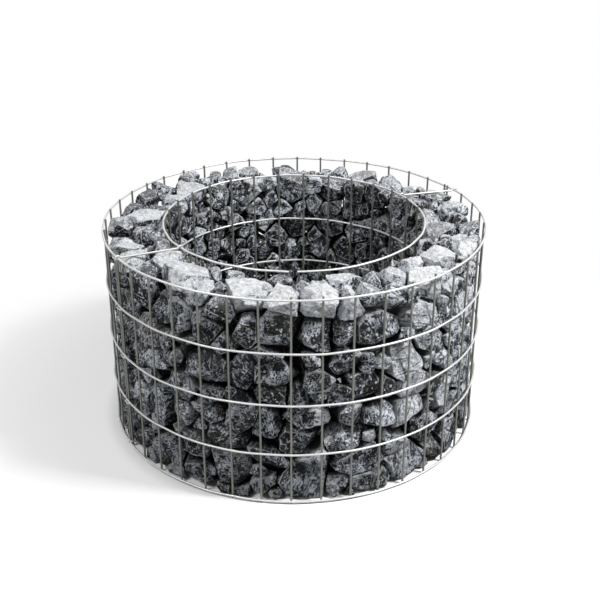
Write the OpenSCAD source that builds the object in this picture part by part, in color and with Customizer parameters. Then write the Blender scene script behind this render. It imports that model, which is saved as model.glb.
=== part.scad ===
// Round gabion wall: a ring of crushed stone held between two welded wire cages.
// The wall closes on itself and leaves a round hollow that is open at the top and the bottom.
// Millimetres, +Z up. The origin is in the middle of the base, and the front is towards -Y.
// A turn is an angle in degrees about +Z: 0 is the front, and it grows towards +X.

/* [Outer cage] */
// Radius of the outer ring wires, to the middle of the wire
outer_r = 367; // [330:1:600]
// Bays between the uprights of each half-round outer panel
outer_bays = 21; // [12:1:30]
// Distance between the two end uprights where the outer panels meet
seam_gap = 9.6; // [9:0.2:16]
// Turn of the seam on the left, counted from the front
seam_turn = -61.25; // [-90:0.25:-30]

/* [Inner cage] */
// Radius of the inner ring wires, to the middle of the wire
inner_r = 253; // [180:1:290]
// Bays between the uprights of the inner panel
inner_bays = 28; // [16:1:36]
// Distance between the two end uprights of the inner panel
inner_mouth = 56; // [50:1:90]
// Length of the free wire ends that reach into that mouth
inner_stub = 40; // [10:1:45]
// Turn of the inner upright that carries the free wire ends
inner_turn = -11.2; // [-30:0.1:10]

/* [Mesh] */
// Thickness of the mesh wire
wire_d = 4; // [3:0.5:6]
// Height from one ring wire to the next
ring_gap = 100; // [60:1:150]
// Number of ring gaps from the lowest ring wire to the rim
ring_bays = 4; // [2:1:6]
// How far the cut ends of the uprights stand past the last ring wire
upright_end = 2.5; // [1:0.5:10]
// How deep a ring wire is welded into an upright
weld_sink = 0.6; // [0.3:0.1:1]

/* [Spacers] */
// Thickness of a spacer rod
spacer_d = 4; // [3:0.5:6]
// Clearance between a spacer's hook and the ring wire in it
hook_clear = 0.3; // [0.2:0.1:0.6]
// How far round the ring wire a hook is bent, in degrees
hook_bend = 235; // [180:5:270]

/* [Seam ties] */
// Thickness of the tie wire
tie_d = 2.5; // [2:0.1:3]
// Clearance between a tie loop and the uprights in it
tie_clear = 0.3; // [0.2:0.1:0.6]
// Distance from a ring wire down to the tie loop below it
tie_drop = 7; // [6:0.5:20]

/* [Stone fill] */
// Clearance between the stones and the wires on both sides
fill_clear = 0.3; // [0.2:0.1:0.8]
// How far the stones stay under the spacer hooks at the front
fill_under = 2; // [1:1:40]
// How much lower the stones lie at the back than at the front
fill_fall = 6; // [0:1:60]

/* [Hidden] */

// Wires are drawn with few sides, and everything round about the middle is a true turning.
wire_sides = 8;
turning_sides = 96;
half_turn = 180;
full_turn = 360;

// The stones are one ring, divided into like segments that meet face to face.
fill_count = 16;
fill_step = full_turn / fill_count;

// Each mesh panel is divided, halfway between two uprights, into segments that meet face to
// face, so that no segment bends far round the middle.
outer_parts = 3;
inner_parts = 14;

// Heights of the ring wires, and the whole height of an upright.
low_ring_z = wire_d / 2 + upright_end;
rim_z = low_ring_z + ring_bays * ring_gap;
upright_h = rim_z + low_ring_z;

// The uprights are welded on the inner side of the ring wires.
weld_step = wire_d - weld_sink;
outer_upright_r = outer_r - weld_step;
inner_upright_r = inner_r - weld_step;

// Two half-round panels, with a seam between their end uprights on either side.
seam_angle = angle_of(seam_gap, outer_upright_r);
outer_step = (half_turn - seam_angle) / outer_bays;
front_first = seam_turn + seam_angle / 2;
back_first = front_first + half_turn;
right_seam_turn = seam_turn + half_turn;
// The ring wires of two panels end this far from the middle of the seam.
seam_end_gap = 1.5;
seam_end_angle = angle_of(seam_end_gap, outer_r);

// One inner panel, rolled round until its ends nearly meet.
inner_mouth_angle = angle_of(inner_mouth, inner_upright_r);
inner_step = (full_turn - inner_mouth_angle) / inner_bays;
inner_first = inner_turn - inner_bays * inner_step;
inner_stub_angle = angle_of(inner_stub, inner_r);
inner_flush_angle = angle_of(wire_d / 2, inner_r);

// A hook's wire runs round the ring wire at this radius.
hook_r = (wire_d + spacer_d) / 2 + hook_clear;
// Spacers in bays counted from the left seam: beside it, and near the right seam.
spacer_bays = [0.25, outer_bays - 0.35];

// A tie loop runs round both end uprights at this distance from their middles.
tie_r = (wire_d + tie_d) / 2 + tie_clear;
// The stones leave a pocket for the ties.
tie_room = 1;
pocket_w = seam_gap + 2 * tie_r + tie_d + 2 * tie_room;
pocket_d = tie_r + tie_d / 2 + tie_room;

// The ring of stones between the two cages.
fill_out = outer_upright_r - wire_d / 2 - fill_clear;
fill_in = inner_r + wire_d / 2 + fill_clear;
fill_front_top = rim_z - hook_r - spacer_d / 2 - fill_under;
fill_start = seam_turn - fill_step / 2;

wire_colour = "silver";
tie_colour = "gainsboro";
stone_colour = "slategray";

// The angle that a length takes up along a circle of radius r.
function angle_of(length, r) = length / r * half_turn / PI;

// A point at a turn, seen from above.
function at(turn, r) = [r * sin(turn), -r * cos(turn)];

// Turn of a place that is counted in outer bays from the left seam.
function bay_turn(bays) = front_first + bays * outer_step;

// Turn of the middle of the inner bay that is nearest to a turn.
function inner_bay_turn(turn) =
    inner_first + (floor((turn_past(turn) - inner_first) / inner_step) + 0.5) * inner_step;
function turn_past(turn) = turn > inner_turn ? turn - full_turn : turn;

// Height of the stones: highest at the front, and lower by fill_fall at the back.
function fill_top(turn) = fill_front_top - fill_fall * (1 - cos(turn)) / 2;

// A wire bent round the middle axis, from one turn to another.
module ring_wire(r, z, from_turn, to_turn) {
    translate([0, 0, z])
        rotate([0, 0, from_turn - 90])
            rotate_extrude(angle = to_turn - from_turn, $fn = turning_sides)
                translate([r, 0])
                    circle(d = wire_d, $fn = wire_sides);
}

module upright(turn, r) {
    translate(at(turn, r))
        rotate([0, 0, turn])
            cylinder(d = wire_d, h = upright_h, $fn = wire_sides);
}

// One segment of a welded mesh panel rolled to a radius, with its uprights on the inside and
// its ring wires on the outside. The ring wires stand past the panel's end uprights by the
// angles before and after.
module mesh_segment(r, first, step, bays, before, after, part, parts) {
    from_upright = part_start(part, parts, bays);
    to_upright = part_start(part + 1, parts, bays) - 1;
    from_turn = part == 0 ? first - before : first + (from_upright - 0.5) * step;
    to_turn = part == parts - 1 ? first + bays * step + after : first + (to_upright + 0.5) * step;
    color(wire_colour)
        union() {
            for (i = [from_upright : to_upright])
                upright(first + i * step, r - weld_step);
            for (i = [0 : ring_bays])
                ring_wire(r, low_ring_z + i * ring_gap, from_turn, to_turn);
        }
}

// Number of the first upright in a segment of a panel.
function part_start(part, parts, bays) = round(part * (bays + 1) / parts);

module outer_mesh(first, part) {
    stub = seam_angle / 2 - seam_end_angle;
    mesh_segment(outer_r, first, outer_step, outer_bays, stub, stub, part, outer_parts);
}

module inner_mesh(part) {
    mesh_segment(inner_r, inner_first, inner_step, inner_bays,
                 inner_flush_angle, inner_stub_angle, part, inner_parts);
}

// One loop of tie wire round the two end uprights: two bends and two straight sides.
module tie_loop() {
    for (side = [-1, 1]) {
        translate([side * seam_gap / 2, 0, 0])
            rotate([0, 0, -side * 90])
                rotate_extrude(angle = half_turn, $fn = turning_sides)
                    translate([tie_r, 0])
                        circle(d = tie_d, $fn = wire_sides);
        translate([-seam_gap / 2, side * tie_r, 0])
            rotate([0, 90, 0])
                cylinder(d = tie_d, h = seam_gap, $fn = wire_sides);
    }
}

module seam_ties(turn) {
    color(tie_colour)
        for (i = [0 : ring_bays])
            translate(concat(at(turn, outer_upright_r), tie_height(i)))
                rotate([0, 0, turn])
                    union()
                        tie_loop();
}

// The loops hang below their ring wires, apart from the lowest, which lies above it.
function tie_height(i) = low_ring_z + i * ring_gap + (i == 0 ? tie_drop : -tie_drop);

// A hook that starts on the +Y side of a ring wire along X and bends over the top of it.
module hook() {
    rotate([0, 90, 0])
        rotate([0, 0, 90])
            rotate_extrude(angle = hook_bend, $fn = turning_sides)
                translate([hook_r, 0])
                    circle(d = spacer_d, $fn = wire_sides);
}

// A rod from the rim of the outer cage to the rim of the inner one, with a hook at each end.
module spacer(outer_turn) {
    inner_end_turn = inner_bay_turn(outer_turn);
    start = at(outer_turn, outer_r - hook_r);
    finish = at(inner_end_turn, inner_r + hook_r);
    run = finish - start;
    color(wire_colour)
        translate([0, 0, rim_z])
            union() {
                translate(at(outer_turn, outer_r))
                    rotate([0, 0, outer_turn])
                        hook();
                translate(at(inner_end_turn, inner_r))
                    rotate([0, 0, inner_end_turn + half_turn])
                        hook();
                translate(start)
                    rotate([0, 90, atan2(run[1], run[0])])
                        cylinder(d = spacer_d, h = norm(run), $fn = wire_sides);
            }
}

// The space that the stones leave round the ties of a seam.
module tie_pocket(turn) {
    rotate([0, 0, turn])
        translate([-pocket_w / 2, -outer_r, -1])
            cube([pocket_w, outer_r - outer_upright_r + pocket_d, upright_h + 2]);
}

// One segment of the ring of stones, from the base to the stones' top there.
module stone_fill(i) {
    from_turn = fill_start + i * fill_step;
    color(stone_colour)
        difference() {
            rotate([0, 0, from_turn - 90])
                rotate_extrude(angle = fill_step, $fn = turning_sides)
                    translate([fill_in, 0])
                        square([fill_out - fill_in, fill_top(from_turn + fill_step / 2)]);
            if (i == 0)
                tie_pocket(seam_turn);
            if (i == fill_count / 2)
                tie_pocket(right_seam_turn);
        }
}

for (i = [0 : outer_parts - 1]) {
    outer_mesh(front_first, i);
    outer_mesh(back_first, i);
}
for (i = [0 : inner_parts - 1])
    inner_mesh(i);
seam_ties(seam_turn);  // left_seam_ties
seam_ties(right_seam_turn);  // right_seam_ties
for (i = [0 : len(spacer_bays) - 1])
    spacer(bay_turn(spacer_bays[i]));
for (i = [0 : fill_count - 1])
    stone_fill(i);
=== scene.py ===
# %% [markdown]
# # A round gabion wall
# A gabion is a wire cage filled with broken stone. This one is a ring: an outer and an inner
# cage of welded mesh, and about eleven hundred stones between them, most of them small. The
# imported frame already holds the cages, the spacer rods and a plain ring in place of the
# stones, each at its real size. This lesson dresses that frame, and it never moves it: every
# new piece is worked out in the same metres, from the same sizes.

# %% Load the frame
import math
import bpy
import numpy as np
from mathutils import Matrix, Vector


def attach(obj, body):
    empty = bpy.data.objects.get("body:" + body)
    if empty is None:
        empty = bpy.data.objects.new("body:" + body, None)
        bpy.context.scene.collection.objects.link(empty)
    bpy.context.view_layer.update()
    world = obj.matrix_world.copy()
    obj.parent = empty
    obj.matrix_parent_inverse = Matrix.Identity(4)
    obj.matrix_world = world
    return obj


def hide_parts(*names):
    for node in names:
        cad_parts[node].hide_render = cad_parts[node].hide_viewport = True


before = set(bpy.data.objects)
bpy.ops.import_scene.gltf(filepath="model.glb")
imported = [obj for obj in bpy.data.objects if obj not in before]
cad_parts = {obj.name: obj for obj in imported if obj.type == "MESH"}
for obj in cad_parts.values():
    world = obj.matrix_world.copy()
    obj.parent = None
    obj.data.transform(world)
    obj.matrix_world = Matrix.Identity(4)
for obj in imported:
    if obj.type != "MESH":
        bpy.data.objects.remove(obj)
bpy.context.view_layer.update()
MM = 0.001

# %% [markdown]
# ## Sizes
# The driving sizes are those of the real mesh: 4 mm wire, ring wires 100 mm apart, and two
# cages. They are written once here, and everything else follows from them. A turn is an angle
# about the upright middle axis in degrees: 0 is the front, and it grows to the right. Working
# in turns and radii keeps a round object simple, because a bay, a stone or a seam is then one
# number.

# %% Sizes of the cages and of the fill
WIRE_D = 4 * MM
RING_GAP = 100 * MM
RING_COUNT = 5
LOW_RING_Z = 4.5 * MM
RIM_Z = LOW_RING_Z + (RING_COUNT - 1) * RING_GAP
UPRIGHT_H = RIM_Z + LOW_RING_Z
WELD_STEP = 3.4 * MM

OUTER_R = 367 * MM
OUTER_BAYS = 21
SEAM_GAP = 9.6 * MM
SEAM_END_GAP = 1.5 * MM
LEFT_SEAM = -61.25
RIGHT_SEAM = LEFT_SEAM + 180

INNER_R = 253 * MM
INNER_BAYS = 28
INNER_MOUTH = 56 * MM
INNER_STUB = 40 * MM
INNER_TURN = -11.2

HOOK_R = 4.3 * MM
HOOK_BEND = 235
SPACER_BAYS = (0.25, OUTER_BAYS - 0.35)
TIE_D = 2.5 * MM
TIE_R = 3.55 * MM
TIE_DROP = 7 * MM

FILL_OUT = 361.2 * MM
FILL_IN = 255.3 * MM
FILL_COUNT = 16
FILL_START = LEFT_SEAM - 180 / FILL_COUNT


def angle_of(length, radius):
    """The angle in degrees that a length takes up along a circle."""
    return math.degrees(length / radius)


def around(turn, radius, height):
    """Points at turns, radii and heights: x is r sin(turn), y is -r cos(turn)."""
    angle = np.radians(turn)
    across = radius * np.sin(angle)
    forth = -radius * np.cos(angle)
    return np.stack(np.broadcast_arrays(across, forth, height), axis=-1)


def turn_of(points):
    """The turn of each point, in degrees."""
    return np.degrees(np.arctan2(points[..., 0], -points[..., 1]))


seam_angle = angle_of(SEAM_GAP, OUTER_R - WELD_STEP)
outer_step = (180 - seam_angle) / OUTER_BAYS
seam_stub = seam_angle / 2 - angle_of(SEAM_END_GAP, OUTER_R)
inner_step = (360 - angle_of(INNER_MOUTH, INNER_R - WELD_STEP)) / INNER_BAYS
inner_first = INNER_TURN - INNER_BAYS * inner_step
tie_drops = [TIE_DROP] + [-TIE_DROP] * (RING_COUNT - 1)
tie_heights = [LOW_RING_Z + i * RING_GAP + drop for i, drop in enumerate(tie_drops)]
spacer_turns = []
spacer_ends = []
for bays in SPACER_BAYS:
    outer_turn = LEFT_SEAM + seam_angle / 2 + bays * outer_step
    past = outer_turn - 360 if outer_turn > INNER_TURN else outer_turn
    inner_turn = inner_first + (math.floor((past - inner_first) / inner_step) + 0.5) * inner_step
    spacer_turns.append((outer_turn, inner_turn))
    spacer_ends.append((around(outer_turn, OUTER_R - HOOK_R, RIM_Z),
                        around(inner_turn, INNER_R + HOOK_R, RIM_Z)))
print("rim at", round(RIM_Z, 4), "m, wall", round((OUTER_R - INNER_R) / MM), "mm thick")

# %% [markdown]
# ## Chance that repeats
# Broken stone needs a great deal of chance, but a scene has to come out the same each time. So
# all dice come from seeded generators, and all roughness from a noise that is a pure
# function of place. The noise gives every corner of a cubic lattice a number made by mixing
# the bits of its three counts, and blends the eight corners round a point. Adding finer and
# fainter copies gives the rough look of a fracture. A worked-out noise is chosen over a
# displacement texture because it runs on whole arrays and can be pointed inwards only.

# %% Dice and noise
PLACE_SEED = 20
dice = np.random.default_rng(PLACE_SEED)
OCTAVE_SHIFT = 17.3
HASH_STEPS = (374761393, 668265263, 2147483647)
HASH_MIX = 1274126177
HASH_MASK = 0xFFFFFFFF


def lattice_value(counts):
    """A number from 0 to 1 for each lattice corner, mixed from the bits of its counts."""
    mixed = (counts * np.array(HASH_STEPS)).sum(axis=-1) & HASH_MASK
    mixed = ((mixed ^ (mixed >> 13)) * HASH_MIX) & HASH_MASK
    mixed = mixed ^ (mixed >> 16)
    return mixed / HASH_MASK


def noise(points):
    """Smooth noise from 0 to 1: the eight corner values blended by an S-curve of the place."""
    corner = np.floor(points).astype(np.int64)
    part = points - corner
    weight = part * part * (3 - 2 * part)
    total = np.zeros(points.shape[:-1])
    for offset in np.ndindex(2, 2, 2):
        share = np.where(np.array(offset) == 1, weight, 1 - weight).prod(axis=-1)
        total += share * lattice_value(corner + np.array(offset))
    return total


def rough(points, octaves):
    """Fractal noise from 0 to 1: each octave is twice as fine and half as strong."""
    total = np.zeros(points.shape[:-1])
    strength = 1.0
    whole = 0.0
    for octave in range(octaves):
        total += strength * noise(points * 2.0 ** octave + OCTAVE_SHIFT * octave)
        whole += strength
        strength /= 2
    return total / whole


print("noise at two places:", noise(np.array([[0.2, 0.4, 0.6], [9.0, 8.5, 7.7]])).round(3))

# %% [markdown]
# ## The shape of the cages
# A mesh cage that is filled with stone is never a true cylinder: it is pushed and dented a few
# millimetres. The dent is a smooth function of turn and height. Ring wires, uprights and
# stones all use the same one, so that every weld still meets and no stone passes a wire.

# %% Dents of a cage
DENT = 1.6 * MM
DENT_TURNS = 9.0
DENT_HEIGHT = 0.16
DENT_START = 40


def dent(turn, height, seed):
    """How far a cage is pressed in: noise along the round and up the wall, from 0 to DENT."""
    angle = np.radians(turn)
    place = np.stack(np.broadcast_arrays(DENT_TURNS * np.cos(angle), DENT_TURNS * np.sin(angle),
                                         height / DENT_HEIGHT + seed), axis=-1)
    return DENT * noise(place + DENT_START)


OUTER_SEED = 3.0
INNER_SEED = 11.0
print("dent at the front rim:", round(float(dent(0.0, RIM_Z, OUTER_SEED)) / MM, 2), "mm")

# %% [markdown]
# ## Where the stones lie
# Stones in a wire cage don't lie in courses: each sits in the hollow between those under it.
# A physics drop would give that too, but it can't place the stones that the photo shows. So
# each stone starts as an ellipsoid. The ones that show best are placed one by one, at their
# turn, height and size. The others are thrown in at random, and then all push each other apart
# until they fill the ring evenly. The placed ones hardly give way.

# %% Stones placed one by one
DARK, GREY, PALE, WHITE = 0.10, 0.38, 0.70, 1.0
# On the front face: turn, height of the middle in mm, width, height and tone.
FACE_STONES = [
    (-41, 345, 50, 55, GREY), (-34, 330, 50, 60, PALE), (-30, 375, 60, 40, PALE), (-22, 364, 58, 40, DARK),
    (-23, 322, 60, 52, DARK), (-13, 334, 36, 64, GREY), (-5, 336, 70, 70, GREY), (-14, 260, 50, 72, GREY),
    (-4, 268, 70, 48, GREY), (-28, 245, 92, 70, DARK), (-42, 208, 58, 60, GREY), (-54, 240, 60, 85, GREY),
    (-51, 140, 60, 57, GREY), (-42, 145, 54, 90, GREY), (-33, 150, 48, 42, PALE), (-25, 200, 48, 34, DARK),
    (-15, 188, 55, 70, DARK), (-4, 218, 67, 50, DARK), (-20, 130, 70, 55, GREY), (-7, 142, 50, 84, GREY),
    (6.5, 379, 72, 52, WHITE), (6, 324, 64, 64, GREY), (14.5, 376, 42, 48, WHITE), (13, 330, 42, 49, DARK),
    (27, 366, 50, 46, DARK), (35, 338, 92, 62, PALE), (24, 293, 88, 80, GREY), (33, 250, 74, 80, PALE),
    (43, 262, 66, 58, GREY), (60, 300, 66, 70, WHITE), (51, 312, 66, 60, GREY), (5, 277, 34, 34, GREY),
    (13, 264, 50, 56, DARK), (22, 226, 64, 58, DARK), (2, 228, 42, 50, DARK), (12, 212, 54, 38, DARK),
    (34, 192, 84, 48, PALE), (48, 212, 46, 42, GREY), (48, 144, 56, 80, WHITE), (61, 232, 56, 56, GREY),
    (8, 172, 95, 36, PALE), (22, 170, 60, 40, DARK), (32, 130, 74, 68, PALE), (15, 124, 70, 56, GREY),
    (0, 124, 76, 60, DARK), (-13, 62, 76, 80, GREY), (3, 56, 92, 64, GREY), (12, 24, 44, 42, PALE),
]
# On top: turn, radius in mm, height of the top face, width, depth and tone.
TOP_STONES = [
    (-137, 343, 408, 50, 44, DARK), (-131, 302, 396, 64, 56, PALE), (-126, 340, 403, 46, 48, DARK),
    (-116, 342, 406, 52, 46, DARK), (-118, 290, 390, 50, 60, PALE), (-104, 342, 396, 44, 44, DARK),
    (-101, 298, 396, 80, 74, PALE), (-89, 342, 404, 48, 46, GREY), (-86, 300, 384, 40, 54, DARK),
    (-72, 321, 398, 64, 62, PALE), (-69, 283, 384, 46, 40, GREY), (-57, 334, 398, 50, 48, WHITE),
    (-53, 278, 402, 58, 50, PALE), (-36, 300, 406, 92, 84, PALE), (-15, 312, 405, 90, 96, WHITE),
    (-1, 312, 402, 54, 70, WHITE), (130, 334, 392, 46, 50, PALE), (118, 325, 392, 46, 56, GREY),
    (106, 335, 398, 46, 58, PALE), (106, 284, 384, 56, 52, GREY), (87, 284, 390, 70, 56, GREY),
    (82, 313, 392, 34, 36, PALE), (86, 342, 398, 60, 40, DARK), (67, 326, 400, 40, 50, WHITE),
    (56, 304, 401, 76, 60, WHITE), (52, 270, 390, 40, 34, PALE), (42, 331, 404, 70, 58, WHITE),
    (35, 300, 394, 42, 60, PALE), (22.5, 333, 403, 46, 54, GREY), (18, 286, 394, 56, 50, PALE),
]
print(len(FACE_STONES), "stones placed on the face and", len(TOP_STONES), "on top")

# %% [markdown]
# An ellipsoid is three half-axes and a turn in space, kept as one matrix. Its reach in a
# direction, which is how far it extends that way from its middle, is the length of that
# direction times the matrix. That one formula serves the pushing, the walls of the cage and,
# later, the flat faces.

# %% Ellipsoids
FACE_DEPTH_MM = (25, 33)
TOP_HEIGHT_MM = (20, 27)
HAND_TILT = 7.0
HAND_SWELL = 1.12
LOOSE_TILT = 40.0
LOOSE_MOST = 600
LOOSE_SIZES_MM = ((30, 58), (26, 40), (24, 44))
LOOSE_MARGIN = 0.03
LOOSE_HEADROOM = 0.04
LEAST_TILT = 0.3
UP = np.array([0.0, 0.0, 1.0])
SNUG = 0.93
FILL_SHARE = 0.80
FRONT_TOP = 396 * MM
BACK_FALL = 6 * MM
STONE_OVER = 4 * MM


def turned(axis, angle):
    """Rotation matrices about unit axes by angles in radians, by Rodrigues' formula."""
    x, y, z = np.moveaxis(axis, -1, 0)
    none = np.zeros_like(x)
    cross = np.stack([none, -z, y, z, none, -x, -y, x, none], axis=-1).reshape(*x.shape, 3, 3)
    s = np.sin(angle)[..., None, None]
    c = np.cos(angle)[..., None, None]
    return np.eye(3) + s * cross + (1 - c) * cross @ cross


def unit(vectors):
    """Vectors of length one."""
    return vectors / np.linalg.norm(vectors, axis=-1, keepdims=True)


def bodies_of(turns, halves, tilt):
    """Ellipsoid matrices: half-axes along the round, through the wall and up, then tilted."""
    angle = np.radians(turns)
    none = np.zeros_like(angle)
    one = np.ones_like(angle)
    along = np.stack([np.cos(angle), np.sin(angle), none], axis=-1)
    out = np.stack([np.sin(angle), -np.cos(angle), none], axis=-1)
    up = np.stack([none, none, one], axis=-1)
    axes = np.stack([along, out, up], axis=-1)
    spin_axes = unit(dice.normal(size=(len(turns), 3)))
    spin = turned(spin_axes, np.radians(tilt) * dice.uniform(LEAST_TILT, 1, len(turns)))
    return spin @ axes * halves[:, None, :]


def reach(body, direction):
    """How far an ellipsoid extends in a direction: the length of direction times matrix."""
    return np.linalg.norm(np.einsum("...i,...ij->...j", direction, body), axis=-1)


def top_of_fill(turn):
    """Height of the stones' top: highest at the front and lower by BACK_FALL at the back."""
    return FRONT_TOP - BACK_FALL * (1 - np.cos(np.radians(turn))) / 2


face = np.array(FACE_STONES)
face_wide, face_high = face[:, 2], face[:, 3]
face_deep = np.clip((face_wide + face_high) / 4, *FACE_DEPTH_MM)
face_halves = HAND_SWELL * np.stack([face_wide / 2, face_deep, face_high / 2], axis=-1) * MM
face_places = around(face[:, 0], FILL_OUT - SNUG * face_halves[:, 1], face[:, 1] * MM)
face_bodies = bodies_of(face[:, 0], face_halves, HAND_TILT)

top = np.array(TOP_STONES)
top_wide, top_deep = top[:, 3], top[:, 4]
top_high = np.clip((top_wide + top_deep) / 5, *TOP_HEIGHT_MM)
top_halves = HAND_SWELL * np.stack([top_wide / 2, top_deep / 2, top_high], axis=-1) * MM
top_places = around(top[:, 0], top[:, 1] * MM, top[:, 2] * MM - SNUG * top_halves[:, 2])
top_bodies = bodies_of(top[:, 0], top_halves, HAND_TILT)

ring_volume = math.pi * (FILL_OUT ** 2 - FILL_IN ** 2) * (FRONT_TOP - BACK_FALL / 2)
hand_volume = 4 / 3 * math.pi * (face_halves.prod(axis=1).sum() + top_halves.prod(axis=1).sum())
loose_halves = np.stack([dice.uniform(*sizes, LOOSE_MOST) for sizes in LOOSE_SIZES_MM], axis=-1) * MM
loose_volumes = 4 / 3 * math.pi * loose_halves.prod(axis=1)
loose_count = int(np.searchsorted(np.cumsum(loose_volumes), FILL_SHARE * ring_volume - hand_volume))
loose_halves = loose_halves[:loose_count]
loose_turns = dice.uniform(-180, 180, loose_count)
loose_places = around(loose_turns,
                      dice.uniform(FILL_IN + LOOSE_MARGIN, FILL_OUT - LOOSE_MARGIN, loose_count),
                      dice.uniform(LOOSE_MARGIN, FRONT_TOP - LOOSE_HEADROOM, loose_count))
loose_bodies = bodies_of(loose_turns, loose_halves, LOOSE_TILT)

places = np.concatenate([face_places, top_places, loose_places])
bodies = np.concatenate([face_bodies, top_bodies, loose_bodies])
stone_count = len(places)
hand_count = len(face) + len(top)
print(stone_count, "stones,", loose_count, "of them loose")

# %% [markdown]
# The pushing works on pairs of near stones. Where two ellipsoids reach into each other along
# the line between their middles, both step back by a share of what is too much. The loose ones
# also sink a little, as they settle in a real cage. After each round of pushing, every stone is
# put back between the cages, on the ground and under the top.

# %% Push the stones apart
PUSH_ROUNDS = 260
PAIR_REFRESH = 8
PAIR_SPAN = 0.125
GIVE = 0.35
SETTLE = 0.15 * MM
SETTLE_ROUNDS = 200
HAND_YIELD = 0.02
by_hand = np.arange(stone_count) < hand_count
yielding = np.where(by_hand, HAND_YIELD, 1.0)


def near_pairs(span):
    """Pairs of stones whose middles are closer than a span, each pair once."""
    gaps = np.linalg.norm(places[:, None] - places[None], axis=-1)
    first, second = np.nonzero(np.triu(gaps < span, 1))
    return first, second


def keep_inside():
    """Puts every middle back between the cages, on the ground and under the top."""
    turn = turn_of(places)
    out = around(turn, 1.0, 0.0)
    radius = np.hypot(places[:, 0], places[:, 1])
    depth = SNUG * reach(bodies, out)
    radius = np.clip(radius, np.minimum(FILL_IN + depth, (FILL_IN + FILL_OUT) / 2),
                     np.maximum(FILL_OUT - depth, (FILL_IN + FILL_OUT) / 2))
    height = SNUG * reach(bodies, UP)
    ceiling = np.where(by_hand, RIM_Z + STONE_OVER, top_of_fill(turn) + STONE_OVER)
    places[:] = around(turn, radius, np.clip(places[:, 2], height, ceiling - height))


for push in range(PUSH_ROUNDS):
    if push % PAIR_REFRESH == 0:
        first, second = near_pairs(PAIR_SPAN)
    apart = places[second] - places[first]
    span = np.linalg.norm(apart, axis=-1)
    line = apart / span[:, None]
    excess = np.maximum(SNUG * (reach(bodies[first], line) + reach(bodies[second], line)) - span, 0)
    step = (GIVE * excess)[:, None] * line
    np.add.at(places, second, step * yielding[second, None])
    np.add.at(places, first, -step * yielding[first, None])
    if push < SETTLE_ROUNDS:
        places[hand_count:, 2] -= SETTLE
    keep_inside()
print("largest overlap left:", round(float(excess.max()) / MM, 1), "mm")
print("mean overlap left:", round(float(excess.mean()) / MM, 2), "mm")

# %% [markdown]
# Some loose stones are caught where there is no room for them. Each whose middle lies too near
# to another stone's skin is taken out again.

# %% Take out caught stones
CAUGHT_SHARE = 0.35
LEAST_SPAN = 1e-6


def room_round(points, middles, matrices):
    """Room from points to the nearest ellipsoid: the distance to its middle less its reach."""
    room = np.full(len(points), 1.0)
    for middle, matrix in zip(middles, matrices):
        apart = points - middle
        span = np.maximum(np.linalg.norm(apart, axis=1), LEAST_SPAN)
        room = np.minimum(room, span - SNUG * reach(matrix, apart / span[:, None]))
    return room


caught = np.zeros(stone_count, dtype=bool)
least_half = np.linalg.svd(bodies, compute_uv=False)[:, -1]
for i in range(hand_count, stone_count):
    others = np.nonzero(~caught & (np.arange(stone_count) != i)
                        & (np.linalg.norm(places - places[i], axis=1) < PAIR_SPAN))[0]
    room = room_round(places[i:i + 1], places[others], bodies[others])[0]
    caught[i] = room < CAUGHT_SHARE * least_half[i]
places = places[~caught]
bodies = bodies[~caught]
stone_count = len(places)
print(int(caught.sum()), "stones without room taken out")

# %% [markdown]
# Large stones leave hollows, and light would show through them. On the real wall smaller
# pieces have run down into them. So many trial points are thrown into the ring, and the one
# with most room round it gets a small stone, again and again. Points near the outer face count
# as a little less roomy, because the large stones are seen there.

# %% Small stones in the hollows
FOOT_HEIGHT = 42 * MM
TRIALS = 40000
TRIAL_MARGIN = 0.008
SMALL_MOST = 780
SMALL_LEAST_ROOM = 4.5 * MM
SMALL_GROWTH = 2 * MM
SMALL_SIZE = (1.25, 1.7)
SMALL_LARGEST = 24 * MM
FACE_SKIN = 30 * MM
FACE_SHYNESS = 5 * MM

trial_turns = dice.uniform(-180, 180, TRIALS)
trial_radii = dice.uniform(FILL_IN + TRIAL_MARGIN, FILL_OUT - TRIAL_MARGIN, TRIALS)
trial_heights = dice.uniform(TRIAL_MARGIN, 1.0, TRIALS) * (top_of_fill(trial_turns) - TRIAL_MARGIN)
trials = around(trial_turns, trial_radii, trial_heights)
walls = np.minimum(np.minimum(trial_radii - FILL_IN, FILL_OUT - trial_radii),
                   np.minimum(trial_heights, top_of_fill(trial_turns) - trial_heights))
room = np.minimum(room_round(trials, places, bodies), walls)
room -= FACE_SHYNESS * ((trial_radii > FILL_OUT - FACE_SKIN) & (trial_heights > FOOT_HEIGHT))
small_places = []
small_bodies = []
while len(small_places) < SMALL_MOST and room.max() > SMALL_LEAST_ROOM:
    best = int(room.argmax())
    half = np.minimum((room[best] + SMALL_GROWTH) * dice.uniform(*SMALL_SIZE, 3), SMALL_LARGEST)
    small_places.append(trials[best])
    small_bodies.append(bodies_of(trial_turns[best:best + 1], half[None], LOOSE_TILT)[0])
    room = np.minimum(room, room_round(trials, small_places[-1:], small_bodies[-1:]))
large_count = stone_count
places = np.concatenate([places, small_places])
bodies = np.concatenate([bodies, small_bodies])
stone_count = len(places)
print(stone_count - large_count, "small stones added, so", stone_count, "in all")

# %% [markdown]
# ## The shape of one stone
# Crushed stone is a body with flat broken faces and sharp edges. So a stone is worked out as
# the space inside a set of planes: its own faces, a cut halfway to each neighbour, so that no
# two stones can ever share space, and the planes of the cages, the ground and its open side.
# Seen from its middle, the surface in a direction is at the nearest plane, and that radius is
# one formula for whole arrays: the plane's distance over the cosine towards it.
#
# A plain grid of directions would saw every edge into teeth. Instead the planes that the four
# corners of a grid cell hit are collected, and the cell's point is put where it fits all of
# them best, by least squares. Points then settle exactly on edges and corners.

# %% Directions on a cube blown up to a sphere
GRID_CELLS = (16, 11, 5)
KEYS_EACH = 1e6
SLANT = (0.31, 0.52, 0.80)


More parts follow.
